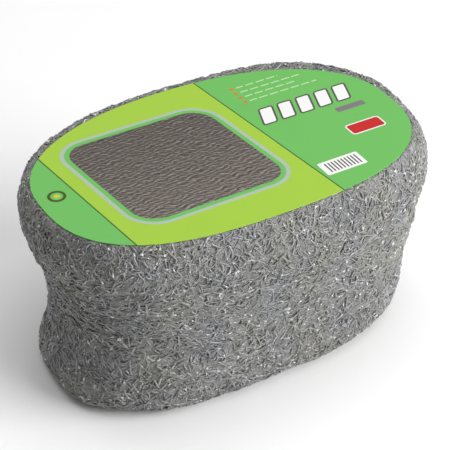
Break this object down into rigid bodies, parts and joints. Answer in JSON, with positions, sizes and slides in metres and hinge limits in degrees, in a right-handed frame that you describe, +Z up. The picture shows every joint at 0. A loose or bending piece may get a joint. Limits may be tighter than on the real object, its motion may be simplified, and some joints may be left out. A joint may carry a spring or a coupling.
{
  "type": "steel wool bundle",
  "caption": "Long oval block of wound steel wool for scouring and polishing, drawn in at the waist and fuller above it, with a thin printed oval card lying on its top.",
  "frame": {"origin": "middle of the underside, where the bundle stands", "axes": "+X along the length, -Y towards the front long side, +Z up through the card"},
  "size_m": [0.2472, 0.155, 0.1282],
  "materials": {
    "steel_wool": "matted fine steel strands, dull grey with bright flecks",
    "printed_card": "coated card printed in green and lime with plain shapes, satin"
  },
  "bodies": {
    "root": {"wool_bundle": "steel_wool", "label_card": "printed_card"}
  },
  "joints": []
}
